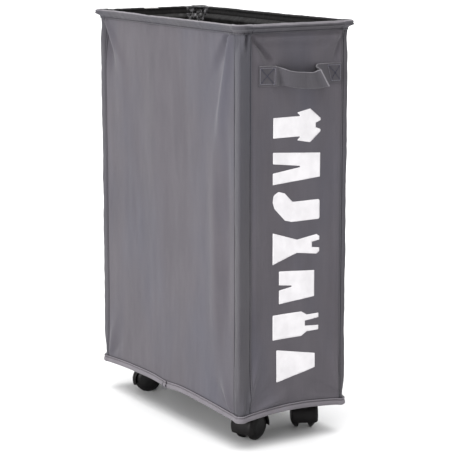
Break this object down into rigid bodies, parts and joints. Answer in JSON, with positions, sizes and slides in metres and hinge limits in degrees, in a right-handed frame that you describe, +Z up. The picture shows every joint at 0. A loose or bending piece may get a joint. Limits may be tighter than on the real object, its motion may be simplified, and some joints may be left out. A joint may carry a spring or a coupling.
{
  "type": "rolling laundry hamper",
  "caption": "Slim open-topped cloth laundry hamper with a wired rim, webbing grab handles and a rigid base on twin-wheel swivel casters.",
  "frame": {"origin": "on the floor, under the middle of the hamper", "axes": "+Z up, -Y towards the narrow printed front, +X to the right as seen from the front"},
  "size_m": [0.182, 0.4284, 0.579],
  "materials": {
    "grey_oxford_cloth": "woven polyester, matte",
    "black_lining": "coated, crinkled",
    "grey_binding_tape": "folded twill tape",
    "grey_webbing": "flat woven webbing",
    "white_print": "screen-printed ink",
    "frame_steel": "black powder coat",
    "zinc_plated_steel": "bright zinc plate",
    "black_board": "black-faced fibreboard",
    "black_nylon": "moulded, satin"
  },
  "bodies": {
    "root": {"base_board": "black_board", "bottom_binding": "grey_binding_tape", "caster_kingpins": "zinc_plated_steel", "caster_plate_front_left": "zinc_plated_steel", "caster_plate_front_right": "zinc_plated_steel", "caster_plate_rear_left": "zinc_plated_steel", "caster_plate_rear_right": "zinc_plated_steel", "caster_screws": "zinc_plated_steel", "corner_pole_front_left": "frame_steel", "corner_pole_front_right": "frame_steel", "corner_pole_rear_left": "frame_steel", "corner_pole_rear_right": "frame_steel", "corner_sleeve_front_left": "grey_oxford_cloth", "corner_sleeve_front_right": "grey_oxford_cloth", "corner_sleeve_rear_left": "grey_oxford_cloth", "corner_sleeve_rear_right": "grey_oxford_cloth", "fabric_floor": "black_lining", "front_handle_ends": "grey_webbing", "front_panel": "grey_oxford_cloth", "front_print": "white_print", "inner_lining": "black_lining", "kingpin_clips": "zinc_plated_steel", "left_panel": "grey_oxford_cloth", "pole_feet": "black_nylon", "pole_foot_screws": "zinc_plated_steel", "pole_top_caps": "black_nylon", "rear_handle_ends": "grey_webbing", "rear_panel": "grey_oxford_cloth", "right_panel": "grey_oxford_cloth", "rim_wire": "frame_steel", "rim_wire_ferrule": "frame_steel", "swivel_washers": "black_nylon", "top_hem": "grey_oxford_cloth"},
    "front_handle": {"front_handle_loop": "grey_webbing"},
    "rear_handle": {"rear_handle_loop": "grey_webbing"},
    "front_left_caster": {"caster_hood_front_left": "black_nylon", "caster_axle_front_left": "zinc_plated_steel"},
    "front_left_wheel_a": {"caster_wheel_front_left_a": "black_nylon"},
    "front_left_wheel_b": {"caster_wheel_front_left_b": "black_nylon"},
    "front_right_caster": {"caster_hood_front_right": "black_nylon", "caster_axle_front_right": "zinc_plated_steel"},
    "front_right_wheel_a": {"caster_wheel_front_right_a": "black_nylon"},
    "front_right_wheel_b": {"caster_wheel_front_right_b": "black_nylon"},
    "rear_left_caster": {"caster_hood_rear_left": "black_nylon", "caster_axle_rear_left": "zinc_plated_steel"},
    "rear_left_wheel_a": {"caster_wheel_rear_left_a": "black_nylon"},
    "rear_left_wheel_b": {"caster_wheel_rear_left_b": "black_nylon"},
    "rear_right_caster": {"caster_hood_rear_right": "black_nylon", "caster_axle_rear_right": "zinc_plated_steel"},
    "rear_right_wheel_a": {"caster_wheel_rear_right_a": "black_nylon"},
    "rear_right_wheel_b": {"caster_wheel_rear_right_b": "black_nylon"}
  },
  "joints": [
    {"name": "front_handle_swing", "type": "hinge", "parent": "root", "child": "front_handle", "pos_m": [0.01, -0.19185, 0.5095], "axis": [-1, 0, 0], "range_deg": [0, 55]},
    {"name": "rear_handle_swing", "type": "hinge", "parent": "root", "child": "rear_handle", "pos_m": [-0.01, 0.19185, 0.5095], "axis": [1, 0, 0], "range_deg": [0, 55]},
    {"name": "front_left_swivel", "type": "hinge", "parent": "root", "child": "front_left_caster", "pos_m": [-0.05, -0.148, 0.045], "axis": [0, 0, 1], "continuous": true},
    {"name": "front_left_wheel_a_roll", "type": "hinge", "parent": "front_left_caster", "child": "front_left_wheel_a", "pos_m": [-0.03865, -0.14409, 0.02], "axis": [-0.3256, 0.9455, 0], "continuous": true},
    {"name": "front_left_wheel_b_roll", "type": "hinge", "parent": "front_left_caster", "child": "front_left_wheel_b", "pos_m": [-0.03865, -0.14409, 0.02], "axis": [-0.3256, 0.9455, 0], "continuous": true},
    {"name": "front_right_swivel", "type": "hinge", "parent": "root", "child": "front_right_caster", "pos_m": [0.05, -0.148, 0.045], "axis": [0, 0, 1], "continuous": true},
    {"name": "front_right_wheel_a_roll", "type": "hinge", "parent": "front_right_caster", "child": "front_right_wheel_a", "pos_m": [0.05563, -0.1374, 0.02], "axis": [-0.8829, 0.4695, 0], "continuous": true},
    {"name": "front_right_wheel_b_roll", "type": "hinge", "parent": "front_right_caster", "child": "front_right_wheel_b", "pos_m": [0.05563, -0.1374, 0.02], "axis": [-0.8829, 0.4695, 0], "continuous": true},
    {"name": "rear_left_swivel", "type": "hinge", "parent": "root", "child": "rear_left_caster", "pos_m": [-0.05, 0.148, 0.045], "axis": [0, 0, 1], "continuous": true},
    {"name": "rear_left_wheel_a_roll", "type": "hinge", "parent": "rear_left_caster", "child": "rear_left_wheel_a", "pos_m": [-0.04017, 0.14112, 0.02], "axis": [0.5736, 0.8192, 0], "continuous": true},
    {"name": "rear_left_wheel_b_roll", "type": "hinge", "parent": "rear_left_caster", "child": "rear_left_wheel_b", "pos_m": [-0.04017, 0.14112, 0.02], "axis": [0.5736, 0.8192, 0], "continuous": true},
    {"name": "rear_right_swivel", "type": "hinge", "parent": "root", "child": "rear_right_caster", "pos_m": [0.05, 0.148, 0.045], "axis": [0, 0, 1], "continuous": true},
    {"name": "rear_right_wheel_a_roll", "type": "hinge", "parent": "rear_right_caster", "child": "rear_right_wheel_a", "pos_m": [0.03912, 0.15307, 0.02], "axis": [-0.4226, -0.9063, 0], "continuous": true},
    {"name": "rear_right_wheel_b_roll", "type": "hinge", "parent": "rear_right_caster", "child": "rear_right_wheel_b", "pos_m": [0.03912, 0.15307, 0.02], "axis": [-0.4226, -0.9063, 0], "continuous": true}
  ]
}
